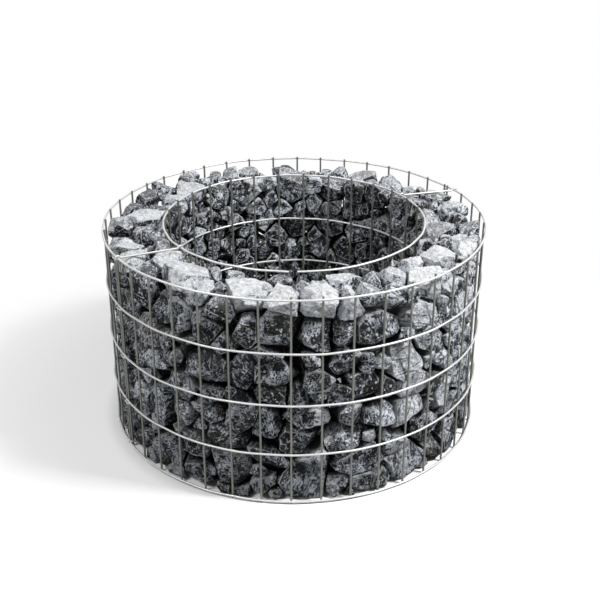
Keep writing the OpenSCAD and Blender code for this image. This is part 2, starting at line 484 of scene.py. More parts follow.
def cube_directions(cells):
    """Unit directions at the grid corners of a cube's six faces, and the corners of each cell."""
    steps = np.tan(np.linspace(-math.pi / 4, math.pi / 4, cells + 1))
    u, v = np.meshgrid(steps, steps, indexing="ij")
    one = np.ones_like(u)
    sides = [(one, u, v), (-one, v, u), (v, one, u), (u, -one, v), (u, v, one), (v, u, -one)]
    points = np.concatenate([np.stack(side, axis=-1).reshape(-1, 3) for side in sides])
    keys = np.round(points * KEYS_EACH).astype(np.int64)
    _, kept, shared = np.unique(keys, axis=0, return_index=True, return_inverse=True)
    index = np.arange((cells + 1) ** 2).reshape(cells + 1, cells + 1)
    square = np.stack([index[:-1, :-1], index[1:, :-1], index[1:, 1:], index[:-1, 1:]], axis=-1)
    corners = np.concatenate([square.reshape(-1, 4) + side * (cells + 1) ** 2 for side in range(6)])
    return unit(points[kept]), shared.reshape(-1)[corners]


def cells_round(directions, corners):
    """For each direction, the cells that share it, in order round it: the faces of the mesh."""
    middles = unit(directions[corners].mean(axis=1))
    sample = corners.reshape(-1)
    cell = np.repeat(np.arange(len(corners)), 4)
    away = directions[sample]
    side = unit(np.cross(away, np.array(SLANT)))
    other = np.cross(away, side)
    offset = middles[cell] - away
    angle = np.arctan2((offset * other).sum(axis=1), (offset * side).sum(axis=1))
    order = np.lexsort((angle, sample))
    counts = np.bincount(sample)
    starts = np.concatenate([[0], np.cumsum(counts)[:-1]])
    quads = cell[order][starts[counts == 4][:, None] + np.arange(4)]
    triangles = cell[order][starts[counts == 3][:, None] + np.arange(3)]
    return middles, quads, triangles


def stone_grid(cells):
    """All that the stones of one grid share: sample directions, cells and faces."""
    ways, corners = cube_directions(cells)
    middles, quads, triangles = cells_round(ways, corners)
    return {"ways": ways, "corners": corners, "middles": middles, "quads": quads,
            "triangles": triangles}


grids = [stone_grid(cells) for cells in GRID_CELLS]
grid_of = np.searchsorted([hand_count, large_count], np.arange(stone_count), side="right")
print([len(grid["middles"]) for grid in grids], "points on a placed, a loose and a small stone")

# %% [markdown]
# The planes of a stone come in four sorts. Its own faces are spread evenly over its ellipsoid
# and jittered, and one more is flat: on the open side of a placed stone, towards the nearer
# mesh on a loose one, and on the ground on a low one. Each of these is broken once more into
# shallow facets, tilted by a few degrees, because a fracture is seldom one clean plane. Then
# come the broken corners, and last the cuts towards the neighbours and the walls.

# %% The planes of a stone
OWN_FACES = 6
OWN_JITTER = 0.42
FLAT_JITTER = 0.08
OWN_SPAN = (0.78, 1.08)
SMALL_SPAN = (0.95, 1.2)
FOOT_SPAN = (1.0, 1.3)
CORNER_FACES = 14
CORNER_JITTER = 0.2
CORNER_SPAN = (1.18, 1.42)
FACET_TILT = 0.22
FACET_SHIFT = 0.35
FACETS_EACH = 2
FACET_LEAST = 0.80
FACET_LIKENESS = 0.75
WALL_SLACK = 1.5 * MM
WALL_JITTER = 0.05
STONE_GAP = 0.6 * MM
CUT_SPAN = 0.18
CUT_JITTER = 0.10
NEIGHBOUR_SPAN = 1.32
FIRM_SHARE = 0.98
LEAST_LEFT = 9 * MM
GOLDEN_TURN = math.pi * (3 - math.sqrt(5))
GROUND_LIFT = 0.5 * MM


def spread_ways(count):
    """Directions spread evenly over a sphere: equal steps in height, golden turns round it."""
    height = 1 - 2 * (np.arange(count) + 0.5) / count
    ring = np.sqrt(1 - height ** 2)
    angle = GOLDEN_TURN * np.arange(count)
    return np.stack([ring * np.cos(angle), ring * np.sin(angle), height], axis=-1)


def faces_round(body, count, jitter, span):
    """Planes round an ellipsoid: spread ways, and distances that are shares of its reach."""
    spin = turned(unit(dice.normal(size=3)), np.array(dice.uniform(0, math.pi)))
    ways = spread_ways(count) @ spin
    ways = unit(ways + jitter * dice.normal(size=ways.shape))
    lean = ways @ np.linalg.inv(body)
    size = np.linalg.norm(lean, axis=1)
    return lean / size[:, None], dice.uniform(*span, count) / size


def own_planes(body, flat_way, flat_share, span):
    """Normals and distances of a stone's own faces, their facets and its broken corners."""
    normals, distances = faces_round(body, OWN_FACES, OWN_JITTER, span)
    flat = unit(flat_way + FLAT_JITTER * dice.normal(size=3))
    normals = np.vstack([normals, flat])
    distances = np.append(distances, flat_share * reach(body, flat))
    plain = np.repeat(normals, FACETS_EACH, axis=0)
    far = np.repeat(distances, FACETS_EACH)
    tilted = unit(plain + FACET_TILT * dice.normal(size=plain.shape))
    shift = FACET_SHIFT * far[:, None] * dice.normal(size=plain.shape)
    foot = plain * far[:, None] + shift - (shift * plain).sum(axis=1)[:, None] * plain
    facets = np.maximum((tilted * foot).sum(axis=1), FACET_LEAST * reach(body, tilted))
    corners, corner_spans = faces_round(body, CORNER_FACES, CORNER_JITTER, CORNER_SPAN)
    normals = np.vstack([normals, tilted, corners])
    return normals, np.concatenate([distances, facets, corner_spans])


def wall_planes(place):
    """Planes a little inside both cages and the ground plane, as a stone at a place meets them."""
    radius = math.hypot(place[0], place[1])
    out = np.array([place[0] / radius, place[1] / radius, 0.0])
    out = unit(out + WALL_JITTER * dice.normal(size=3))
    normals = np.array([out, -out, [0.0, 0.0, -1.0]])
    distances = np.array([FILL_OUT - radius - WALL_SLACK, radius - FILL_IN, place[2] - GROUND_LIFT])
    return normals, distances


def cut_planes():
    """The cut between each pair of near stones: its normal, and its distance from both."""
    first, second = near_pairs(CUT_SPAN)
    apart = places[second] - places[first]
    span = np.linalg.norm(apart, axis=-1)
    line = apart / span[:, None]
    reach_first = reach(bodies[first], line)
    reach_second = reach(bodies[second], line)
    close = span < NEIGHBOUR_SPAN * (reach_first + reach_second)
    share = reach_first / (reach_first + reach_second)
    normal = unit(line + CUT_JITTER * dice.normal(size=line.shape))
    firm = (first < hand_count) & (second >= hand_count)
    kept = np.clip(FIRM_SHARE * reach_first, share * span, span - LEAST_LEFT)
    point = line * np.where(firm, kept, share * span)[:, None]
    from_first = (normal * point).sum(axis=1) - STONE_GAP / 2
    from_second = (normal * (apart - point)).sum(axis=1) - STONE_GAP / 2
    return first[close], second[close], normal[close], from_first[close], from_second[close]


cut_first, cut_second, cut_normal, cut_near, cut_far = cut_planes()
print(len(cut_first), "cuts between neighbours")

# %% [markdown]
# One function then makes the points of a stone. The least squares problem for a cell has its
# planes as rows, and a faint pull towards the plain surface point keeps it solvable where all
# corners hit the same plane. Two layers of noise then eat into the surface, never out of it,
# so that stones still can't touch. A small stone is eaten less. The spread of the normals at a
# cell tells how sharp an edge is there, and it is kept for the worn pale edges of the finish and
# the painted highlight on them. Each plane also draws a tone, which the facets of one face nearly
# share.

# %% The points of a stone
TIE_POCKET_W = 21 * MM
TIE_POCKET_D = 6 * MM
TIE_POCKET_H = 12 * MM
ROD_ROOM = 4.5 * MM
ROD_UNDER = 3.0 * MM
PULL = 0.02
LEAST_COSINE = 1e-4
LEAST_SHIFT = 1e-9
CHIP_START = 5.5
WEAR_START = 9.1
MAX_SHIFT = 3.0 * MM
SWELL_SIZE = 26 * MM
SWELL_DEEP = 4.2 * MM
SWELL_GAIN = 1.6
SWELL_START = 0.3
CHIP_SIZE = 11 * MM
CHIP_DEEP = 3.2 * MM
EDGE_DEEP = 0.9 * MM
EDGE_GAIN = 7.0
MOST_EATEN = 0.22
SMALL_EATEN = 0.45


def stone_points(place, grid, normals, distances, seed, eaten):
    """Points of a stone, sharpness and face tone: planes fitted cell by cell, then roughened."""
    toward = np.maximum(grid["ways"] @ normals.T, LEAST_COSINE)
    hit = (distances / toward).argmin(axis=1)
    toward = np.maximum(grid["middles"] @ normals.T, LEAST_COSINE)
    plain = grid["middles"] * (distances / toward).min(axis=1)[:, None]
    cell_normals = normals[hit[grid["corners"]]]
    cell_distances = distances[hit[grid["corners"]]]
    square = np.einsum("cki,ckj->cij", cell_normals, cell_normals) + PULL * np.eye(3)
    right = np.einsum("cki,ck->ci", cell_normals, cell_distances) + PULL * plain
    fitted = np.linalg.solve(square, right[..., None])[..., 0]
    shift = fitted - plain
    length = np.linalg.norm(shift, axis=1, keepdims=True)
    fitted = plain + shift * np.minimum(1, MAX_SHIFT / np.maximum(length, LEAST_SHIFT))
    edge = np.clip(EDGE_GAIN * (1 - np.linalg.norm(cell_normals.mean(axis=1), axis=1)), 0, 1)
    plane_tones = dice.random(len(normals))
    parents = np.repeat(np.arange(OWN_FACES + 1), FACETS_EACH)
    children = slice(OWN_FACES + 1, OWN_FACES + 1 + len(parents))
    own_tones = (1 - FACET_LIKENESS) * plane_tones[children]
    plane_tones[children] = FACET_LIKENESS * plane_tones[parents] + own_tones
    facet = plane_tones[hit[grid["corners"][:, 0]]]
    swell = np.clip(SWELL_GAIN * rough(fitted / SWELL_SIZE + seed, 3) - SWELL_START, 0, 1)
    chips = np.abs(2 * rough(fitted / CHIP_SIZE + seed + CHIP_START, 2) - 1)
    wear = edge * noise(fitted / CHIP_SIZE + seed + WEAR_START)
    deep = eaten * (SWELL_DEEP * swell + CHIP_DEEP * chips + EDGE_DEEP * wear)
    radius = np.linalg.norm(fitted, axis=1)
    share = np.minimum(deep / radius, MOST_EATEN)
    points = place + fitted * (1 - share[:, None])
    return inside_cage(points), edge, facet


def rod_distance(points):
    """Distance, seen from above, to the nearest spacer rod: from a point to a line's segment."""
    nearest = np.full(len(points), 1.0)
    for start, finish in spacer_ends:
        run = (finish - start)[:2]
        along = np.clip((points[:, :2] - start[:2]) @ run / (run @ run), 0, 1)
        aside = points[:, :2] - start[:2] - along[:, None] * run
        nearest = np.minimum(nearest, np.linalg.norm(aside, axis=1))
    return nearest


def inside_cage(points):
    """Points pulled in where they would pass the outer cage, a tie, a rod, the ground or the rim."""
    turn = turn_of(points)
    radius = np.hypot(points[:, 0], points[:, 1])
    from_seam = np.abs((turn - LEFT_SEAM + 90) % 180 - 90)
    limit = FILL_OUT - dent(turn, points[:, 2], OUTER_SEED)
    from_tie = np.abs(points[:, 2, None] - np.array(tie_heights)).min(axis=1)
    at_tie = (from_seam < angle_of(TIE_POCKET_W / 2, OUTER_R)) & (from_tie < TIE_POCKET_H / 2)
    limit = np.where(at_tie, OUTER_R - WELD_STEP - TIE_POCKET_D, limit)
    share = np.minimum(1, limit / radius)
    ceiling = np.where(rod_distance(points) < ROD_ROOM, RIM_Z - ROD_UNDER, RIM_Z + STONE_OVER)
    height = np.clip(points[:, 2], GROUND_LIFT, ceiling)
    return np.stack([points[:, 0] * share, points[:, 1] * share, height], axis=-1)


# %% [markdown]
# A placed stone has the tone that the photo shows. The others draw theirs from five grades,
# most of them dark, and three in a hundred are warmer. On the right of the face, where the sun
# falls, all are one step paler as painted sunlight. Then each stone gets its planes and its
# points. The shapes have a draw of their own, so that a change to the small stones leaves the
# placed ones as they are.

# %% Work out all the stones
LOOSE_TONES = (0.05, 0.15, 0.3, 0.45, 0.7)
LOOSE_TONE_SHARES = (0.25, 0.3, 0.25, 0.13, 0.07)
LOOSE_TONE_SPREAD = 0.05
WARM_SHARE = 0.03
WARM_SPAN = (0.3, 0.6)
COOL_SPAN = (0, 0.10)
SUNNY_SHIFT = 0.28
SUNNY_TURNS = (22, 80)
SUNNY_R = 0.31
SHAPE_SEED = 21
PATTERN_SPAN = 90
FACE_LEAN = 0.12
FACE_FLAT = 0.86
TOP_FLAT = 0.94
FOOT_FLAT = 0.90
LOOSE_FLAT = 0.92
LEAST_PLANE = 4 * MM

rest_count = stone_count - hand_count
loose_tones = dice.choice(LOOSE_TONES, rest_count, p=LOOSE_TONE_SHARES)
loose_tones = np.clip(loose_tones + dice.normal(0, LOOSE_TONE_SPREAD, rest_count), 0, 1)
tones = np.concatenate([face[:, 4], top[:, 5], loose_tones])
warm = (dice.random(stone_count) < WARM_SHARE) & (np.arange(stone_count) >= hand_count)
warmths = np.where(warm, dice.uniform(*WARM_SPAN, stone_count), dice.uniform(*COOL_SPAN, stone_count))
stone_turns = turn_of(places)
stone_radii = np.hypot(places[:, 0], places[:, 1])
# Painted sunlight: the stones on the right of the front face, where the sun falls, are made one step
# paler.
sunny = (stone_turns > SUNNY_TURNS[0]) & (stone_turns < SUNNY_TURNS[1]) & (stone_radii > SUNNY_R)
tones = np.clip(tones + SUNNY_SHIFT * sunny, 0, 1)

dice = np.random.default_rng(SHAPE_SEED)
stones = []
for i in range(stone_count):
    low = places[i][2] < FOOT_HEIGHT
    outward = around(turn_of(places[i]), 1.0, 0.0)
    if i < len(face):
        flat_way, flat_share = outward + FACE_LEAN * UP, FACE_FLAT
    elif i < hand_count:
        flat_way, flat_share = UP, TOP_FLAT
    elif low:
        flat_way, flat_share = -UP, FOOT_FLAT
    else:
        near_outside = math.hypot(places[i][0], places[i][1]) > (FILL_IN + FILL_OUT) / 2
        flat_way, flat_share = (outward if near_outside else -outward), LOOSE_FLAT
    span = FOOT_SPAN if low else OWN_SPAN if i < large_count else SMALL_SPAN
    normals, distances = own_planes(bodies[i], flat_way, flat_share, span)
    wall_normals, wall_distances = wall_planes(places[i])
    near = cut_first == i
    far = cut_second == i
    normals = np.vstack([normals, wall_normals, cut_normal[near], -cut_normal[far]])
    distances = np.concatenate([distances, wall_distances, cut_near[near], cut_far[far]])
    distances = np.maximum(distances, LEAST_PLANE)
    seed = dice.uniform(0, PATTERN_SPAN, 3)
    eaten = 1.0 if i < large_count else SMALL_EATEN
    stones.append(stone_points(places[i], grids[grid_of[i]], normals, distances, seed, eaten))
print("worked out", len(stones), "stones, the placed ones of", len(stones[0][0]), "points")

# %% [markdown]
# ## Meshes
# A wall of single objects would be slow and hard to handle, so the stones of one segment of
# the ring are joined into one mesh. What differs from stone to stone is kept in attributes on
# the points: a shift of the pattern, so that no vein runs on from one stone to the next, the
# tone, the warmth, the sharpness of the edges and the tone of each face.

# %% Mesh helpers
SHARP_ANGLE = math.radians(17)
SHIFT_STEPS = ((7.7, 0.5), (5.3, 3.5), (3.1, 6.5))


def mesh_object(name, points, faces, attributes):
    """A mesh object from points and faces, with number or vector attributes on its points."""
    mesh = bpy.data.meshes.new(name)
    mesh.from_pydata(points.tolist(), [], faces)
    for title, values in attributes.items():
        kind, field = ("FLOAT_VECTOR", "vector") if values.ndim == 2 else ("FLOAT", "value")
        layer = mesh.attributes.new(title, kind, "POINT")
        layer.data.foreach_set(field, values.astype(np.float32).ravel())
    mesh.polygons.foreach_set("use_smooth", np.ones(len(mesh.polygons), dtype=bool))
    mesh.update()
    piece = bpy.data.objects.new(name, mesh)
    bpy.context.scene.collection.objects.link(piece)
    return piece


def stones_object(name, chosen):
    """The chosen stones as one mesh, with their attributes."""
    points = np.concatenate([stones[i][0] for i in chosen])
    edges = np.concatenate([stones[i][1] for i in chosen])
    facets = np.concatenate([stones[i][2] for i in chosen])
    sizes = np.array([len(stones[i][0]) for i in chosen])
    starts = np.cumsum(sizes) - sizes
    faces = []
    for i, start in zip(chosen, starts):
        faces += (grids[grid_of[i]]["quads"] + start).tolist()
        faces += (grids[grid_of[i]]["triangles"] + start).tolist()
    numbers = np.repeat(np.array(chosen), sizes)
    shifts = np.stack([noise(numbers[:, None] * step + (start + np.arange(3)))
                       for step, start in SHIFT_STEPS], axis=-1)
    piece = mesh_object(name, points, faces, {
        "stone_shift": shifts, "stone_tone": tones[numbers], "stone_warmth": warmths[numbers],
        "stone_edge": edges, "stone_facet": facets})
    piece.data.set_sharp_from_angle(angle=SHARP_ANGLE)
    return piece


# %% Make the stones, segment by segment
segment_of = (np.floor((turn_of(places) - FILL_START) / (360 / FILL_COUNT)) % FILL_COUNT).astype(int)
stone_pieces = []
for segment in range(FILL_COUNT):
    piece = stones_object(f"stones_{segment + 1}", np.nonzero(segment_of == segment)[0].tolist())
    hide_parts(f"stone_fill_{segment + 1}")
    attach(piece, "root")
    stone_pieces.append(piece)
print("triangles of the largest stone piece:",
      max(sum(len(face.vertices) - 2 for face in piece.data.polygons) for piece in stone_pieces))

# %% [markdown]
# ## Wires
# A wire is a circle carried along a path. One function makes the tube for any path, and needs
# only a direction that lies across the path at each point, such as outwards for a ring wire.
# A curve object with a bevel would do the same, but arrays keep the dents exact and let a
# whole mesh panel be one object. The cut ends get a flat cap.

# %% Tubes
WIRE_SIDES = 12
WIRE_SHARP_ANGLE = math.radians(50)
SLIM = 0.985


def tube(path, across, radius, closed=False):
    """Points and faces of a round wire: middle plus radius times (cos across + sin binormal)."""
    chords = np.roll(path, -1, axis=0) - np.roll(path, 1, axis=0)
    along = unit(chords if closed else np.gradient(path, axis=0))
    across = unit(across - (across * along).sum(axis=1, keepdims=True) * along)
    binormal = np.cross(along, across)
    angle = 2 * math.pi * np.arange(WIRE_SIDES) / WIRE_SIDES
    rings = path[:, None] + radius * (np.cos(angle)[None, :, None] * across[:, None]
                                      + np.sin(angle)[None, :, None] * binormal[:, None])
    index = np.arange(len(path) * WIRE_SIDES).reshape(len(path), WIRE_SIDES)
    following = np.roll(index, -1, axis=1)
    quads = np.stack([index, following,
                      np.roll(following, -1, axis=0), np.roll(index, -1, axis=0)], axis=-1)
    quads = (quads if closed else quads[:-1]).reshape(-1, 4)
    caps = [] if closed else [index[0, ::-1].tolist(), index[-1].tolist()]
    return rings.reshape(-1, 3), quads.tolist() + caps


def wires_object(name, tubes, painted_lights):
    """Several tubes joined into one mesh object, each with its own painted light."""
    points = np.concatenate([tube_points for tube_points, _ in tubes])
    faces = []
    start = 0
    for tube_points, tube_faces in tubes:
        faces += [[start + number for number in face] for face in tube_faces]
        start += len(tube_points)
    painted_light_values = np.repeat(np.array(painted_lights), [len(tube_points) for tube_points, _ in tubes])
    piece = mesh_object(name, points, faces, {"wire_painted_light": painted_light_values})
    piece.data.set_sharp_from_angle(angle=WIRE_SHARP_ANGLE)
    return piece


# %% [markdown]
# The ring wires lie outside and the uprights inside, welded where they cross. A wire is drawn a
# touch slimmer than its size, so that its dents and sag stay within the frame. The photo shows
# the ring wires bright and the uprights dull, so each tube carries a painted light: lit from
# above on the ring wires and in shade on the uprights, though both are one zinc.

# %% Ring wires and uprights
RING_STEP = 12 * MM
UPRIGHT_STEP = 20 * MM
SAG = 0.9 * MM
RING_WAVE = 8
RING_SHIFT = 50
UPRIGHT_WAVE = 0.2
# Painted light: the uprights get a shaded brightness and the ring wires a lit one.
UPRIGHT_PAINTED_LIGHT = 0.0
RING_PAINTED_LIGHT = 1.0
WIRE_R = WIRE_D / 2 * SLIM


def ring_wire(radius, height, from_turn, to_turn, seed):
    """A ring wire: a circle pressed in by the dent, rising and falling by up to SAG."""
    count = max(3, round(math.radians(to_turn - from_turn) * radius / RING_STEP))
    turn = np.linspace(from_turn, to_turn, count)
    spots = np.stack([turn / RING_WAVE, turn * 0 + height * RING_SHIFT, turn * 0 + seed], axis=-1)
    lift = SAG * (2 * noise(spots) - 1)
    path = around(turn, radius - dent(turn, height, seed), height + lift)
    return tube(path, around(turn, 1.0, 0.0), WIRE_R)


def upright(turn, radius, seed):
    """An upright: a straight rod pressed in by the dent, leaning by up to SAG."""
    height = np.linspace(0, UPRIGHT_H, round(UPRIGHT_H / UPRIGHT_STEP))
    spots = np.stack([height / UPRIGHT_WAVE, height * 0 + turn, height * 0 + seed], axis=-1)
    lean = angle_of(SAG, radius) * (2 * noise(spots) - 1)
    path = around(turn + lean, radius - dent(turn, height, seed), height)
    return tube(path, around(np.full_like(height, turn), 1.0, 0.0), WIRE_R)


def panel(name, radius, first, step, bays, before, after, seed):
    """A welded mesh panel rolled round: its uprights inside, its ring wires outside."""
    tubes = [upright(first + i * step, radius - WELD_STEP, seed) for i in range(bays + 1)]
    painted_lights = [UPRIGHT_PAINTED_LIGHT] * (bays + 1) + [RING_PAINTED_LIGHT] * RING_COUNT
    for ring in range(RING_COUNT):
        height = LOW_RING_Z + ring * RING_GAP
        tubes.append(ring_wire(radius, height, first - before, first + bays * step + after, seed))
    return wires_object(name, tubes, painted_lights)


front_mesh = panel("front_mesh", OUTER_R, LEFT_SEAM + seam_angle / 2, outer_step, OUTER_BAYS,
                   seam_stub, seam_stub, OUTER_SEED)
back_mesh = panel("back_mesh", OUTER_R, RIGHT_SEAM + seam_angle / 2, outer_step, OUTER_BAYS,
                  seam_stub, seam_stub, OUTER_SEED)
inner_mesh = panel("inner_mesh", INNER_R, inner_first, inner_step, INNER_BAYS,
                   angle_of(WIRE_D / 2, INNER_R), angle_of(INNER_STUB, INNER_R), INNER_SEED)
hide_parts("front_mesh_1", "front_mesh_2", "front_mesh_3")
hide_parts("back_mesh_1", "back_mesh_2", "back_mesh_3")
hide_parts(*[f"inner_mesh_{i}" for i in range(1, 15)])
for piece in (front_mesh, back_mesh, inner_mesh):
    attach(piece, "root")

# %% [markdown]
# A spacer is one bent rod: a hook round each rim wire and a straight run between them. Its path
# is laid out as arcs and a line, and then each point is averaged with its neighbours a few
# times, which rounds the bends as a bending jig does. A tie is a closed loop round the two end
# uprights of a seam.

# %% Spacers and ties
BEND_STEP = 1.0 * MM
BEND_PASSES = 4
BEND_POINTS = 24
RUN_STEP = 6
TIE_BEND_POINTS = 11
# Painted light: spacers and ties are painted nearly as lit as the ring wires.
SPACER_PAINTED_LIGHT = 0.8
TIE_PAINTED_LIGHT = 0.9


def hook(turn, radius, inward):
    """Points of a hook: a circle round the rim wire, from its wall side up over the top."""
    count = round(HOOK_R * math.radians(HOOK_BEND) / BEND_STEP)
    bend = np.radians(np.linspace(0, HOOK_BEND, count))[:, None]
    away = np.cos(bend) * inward * around(turn, 1.0, 0.0) + np.sin(bend) * UP
    return around(turn, radius, RIM_Z) + HOOK_R * away


def spacer(turns, ends):
    """A spacer's tube: outer hook, straight run and inner hook, its bends averaged round."""
    start, finish = ends
    share = np.linspace(0, 1, round(float(np.linalg.norm(finish - start)) / BEND_STEP))[1:-1, None]
    path = np.concatenate([hook(turns[0], OUTER_R, -1)[::-1], start + share * (finish - start),
                           hook(turns[1], INNER_R, 1)])
    for _ in range(BEND_PASSES):
        path[1:-1] = (path[:-2] + 2 * path[1:-1] + path[2:]) / 4
    last = len(path) - BEND_POINTS
    kept = np.unique(np.concatenate([np.arange(BEND_POINTS), np.arange(BEND_POINTS, last, RUN_STEP),
                                     np.arange(last, len(path))]))
    return tube(path[kept], np.cross(UP, finish - start)[None].repeat(len(kept), axis=0), WIRE_R)


def tie(turn, height):
    """A closed loop of tie wire round the two end uprights of a seam."""
    along = np.array([math.cos(math.radians(turn)), math.sin(math.radians(turn)), 0.0])
    out = around(turn, 1.0, 0.0)
    bend = np.concatenate([np.linspace(-90, 90, TIE_BEND_POINTS), np.linspace(90, 270, TIE_BEND_POINTS)])
    bend = np.radians(bend)[:, None]
    side = np.repeat([1.0, -1.0], TIE_BEND_POINTS)[:, None] * SEAM_GAP / 2
    away = TIE_R * (np.cos(bend) * along + np.sin(bend) * out)
    path = around(turn, OUTER_R - WELD_STEP, height) + side * along + away
    return tube(path, np.tile(UP, (len(path), 1)), TIE_D / 2 * SLIM, closed=True)


wire_pieces = [front_mesh, back_mesh, inner_mesh]
for number, (turns, ends) in enumerate(zip(spacer_turns, spacer_ends), 1):
    piece = wires_object(f"spacer_rod_{number}", [spacer(turns, ends)], [SPACER_PAINTED_LIGHT])
    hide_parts(f"spacer_{number}")
    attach(piece, "root")
    wire_pieces.append(piece)
for title, turn in (("left_seam", LEFT_SEAM), ("right_seam", RIGHT_SEAM)):
    ties = [tie(turn, height) for height in tie_heights]
    piece = wires_object(f"{title}_loops", ties, [TIE_PAINTED_LIGHT] * RING_COUNT)
    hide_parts(f"{title}_ties")
    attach(piece, "root")
    wire_pieces.append(piece)
print("wire faces:", sum(len(piece.data.polygons) for piece in wire_pieces))

# %% [markdown]
# ## Finishes
# A finish is a small program of nodes. To keep it readable, a class wraps a node's output and
# turns Python's operators into Math nodes, so that a mask is written like the formula that it
# is. All other nodes come from one method, which sets the node up and plugs values or other
# outputs into it.

# %% Shader helpers


class Reading:
    """An output of a finish's node. Arithmetic on it adds the Math nodes."""

    def __init__(self, finish, output):
        self.finish = finish
        self.output = output

    def math(self, operation, first, second=None):
        return self.finish.math_of(operation, first, second)

    def __add__(self, other):
        return self.math("ADD", self, other)

    def __radd__(self, other):
        return self.math("ADD", other, self)

    def __sub__(self, other):
        return self.math("SUBTRACT", self, other)

    def __rsub__(self, other):
        return self.math("SUBTRACT", other, self)

    def __mul__(self, other):
        return self.math("MULTIPLY", self, other)

    def __rmul__(self, other):
        return self.math("MULTIPLY", other, self)

    def __abs__(self):
        return self.math("ABSOLUTE", self)


class Finish:
    """A material whose nodes are added by one method."""

    def __init__(self, name):
        self.material = bpy.data.materials.new(name)
        self.material.use_nodes = True
        self.tree = self.material.node_tree
        self.shader = self.tree.nodes["Principled BSDF"]

    def node(self, kind, settings=None, inputs=None, output=0):
        """Adds a node, applies its settings, fills its sockets and returns one output."""
        node = self.tree.nodes.new(kind)
        for name, value in (settings or {}).items():
            setattr(node, name, value)
        for name, value in (inputs or {}).items():
            self.plug(node.inputs[name], value)
        return Reading(self, node.outputs[output])

    def plug(self, socket, value):
        """Links a reading to a socket, or writes a plain value on it."""
        if isinstance(value, Reading):
            self.tree.links.new(value.output, socket)
        else:
            socket.default_value = value

    def math_of(self, operation, first, second=None):
        """One Math node on one or two values."""
        inputs = {0: first} if second is None else {0: first, 1: second}
        return self.node("ShaderNodeMath", {"operation": operation}, inputs)

    def ramp(self, reading, low, high):
        """A number that rises smoothly from 0 at low to 1 at high."""
        return self.node("ShaderNodeMapRange", {"interpolation_type": "SMOOTHSTEP"},
                         {"Value": reading, "From Min": low, "From Max": high})

    def mix(self, share, first, second):
        """A colour between two colours."""
        return self.node("ShaderNodeMix", {"data_type": "RGBA"}, {0: share, 6: first, 7: second}, output=2)

    def noise(self, place, scale, detail, roughness):
        """Blender's noise texture, from about 0.2 to 0.8."""
        return self.node("ShaderNodeTexNoise", None, {
            "Vector": place, "Scale": scale, "Detail": detail, "Roughness": roughness})

    def spots(self, place, scale, detail, roughness, low, high):
        """A mask of spots: 1 wherever the noise is above high."""
        return self.ramp(self.noise(place, scale, detail, roughness), low, high)

    def stretched(self, place, scale):
        """A place scaled by its own factor on each axis."""
        return self.node("ShaderNodeMapping", None, {"Vector": place, "Scale": scale})

    def vector_of(self, operation, inputs, output=0):
        """One Vector Math node: output 0 is its vector and output 1 its number."""
        return self.node("ShaderNodeVectorMath", {"operation": operation}, inputs, output)

    def object_place(self):
        """The place in the object's own metres."""
        return self.node("ShaderNodeTexCoord", None, None, output=3)

    def attribute(self, name, output):
        """An attribute of the mesh: output 1 is its vector and output 2 its number."""
        return self.node("ShaderNodeAttribute", {"attribute_name": name}, None, output)

    def bump(self, strength, distance, relief):
        """Feeds a relief to the shader's normal."""
        self.plug(self.shader.inputs["Normal"],
                  self.node("ShaderNodeBump", None,
                            {"Strength": strength, "Distance": distance, "Height": relief}))


def grey(level, blue=0.0):
    """A neutral colour, or a slightly blue one."""
    return (level * (1 - 0.10 * blue), level, level * (1 + 0.16 * blue), 1)


# %% [markdown]
# ### Stone
# The rock is a dark blue-grey. Each broken face has a tone of its own, and the paler it is, the
# more of it is pale speckle and scratches. Fine white veins and dark fissures cross it. Where
# it was crushed it is worn pale along the edges, and a painted highlight makes the edges that
# face up paler still. A few stones are white all over. Faces that look up carry pale dust and
# painted light, which is strongest near the top of the wall and weaker lower down. Painted shade
# darkens the stones deep between each other and towards the ground. Each of these is a mask
# from 0 to 1, and the colour is mixed up through them in turn.

# %% Stone finish
SHIFT_SPAN = 30
FULL_TURN = 6.28
SHEEN = 0.12
RELIEF_DEPTH = 0.020
stone = Finish("crushed stone")
object_place = stone.object_place()
stone_shift = stone.attribute("stone_shift", 1)
shift = stone.vector_of("SCALE", {0: stone_shift, "Scale": SHIFT_SPAN})
turns = stone.vector_of("SCALE", {0: stone_shift, "Scale": FULL_TURN})
moved = stone.vector_of("ADD", {0: object_place, 1: shift})
place = stone.node("ShaderNodeVectorRotate", {"rotation_type": "EULER_XYZ"},
                   {"Vector": moved, "Rotation": turns})
layered = stone.stretched(place, (1, 1, 5))
streaked = stone.stretched(place, (1, 0.3, 0.8))
tone = stone.attribute("stone_tone", 2)
warmth = stone.attribute("stone_warmth", 2)
edge = stone.attribute("stone_edge", 2)
facet = stone.attribute("stone_facet", 2)
height = stone.node("ShaderNodeSeparateXYZ", None, {0: object_place}, output=2)
normal = stone.node("ShaderNodeNewGeometry", None, None, output=1)
facing = stone.node("ShaderNodeSeparateXYZ", None, {0: normal}, output=2)

cloud = stone.noise(place, 38, 6, 0.62)
bed = stone.noise(layered, 24, 5, 0.6)
rubble = stone.noise(place, 120, 6, 0.7)
grain = stone.noise(place, 420, 3, 0.7)
wander = stone.node("ShaderNodeTexNoise", None, {"Vector": place, "Scale": 60, "Detail": 3}, output=1)


def cracks(spot, scale, width, bend):
    """Thin straight lines along the borders of Voronoi cells, bent a little by noise."""
    bent = stone.node("ShaderNodeMix", {"data_type": "VECTOR"}, {0: bend, 4: spot, 5: wander}, output=1)
    border = stone.node("ShaderNodeTexVoronoi", {"feature": "DISTANCE_TO_EDGE"},
                        {"Vector": bent, "Scale": scale})
    return 1 - stone.ramp(border, width * 0.25, width)


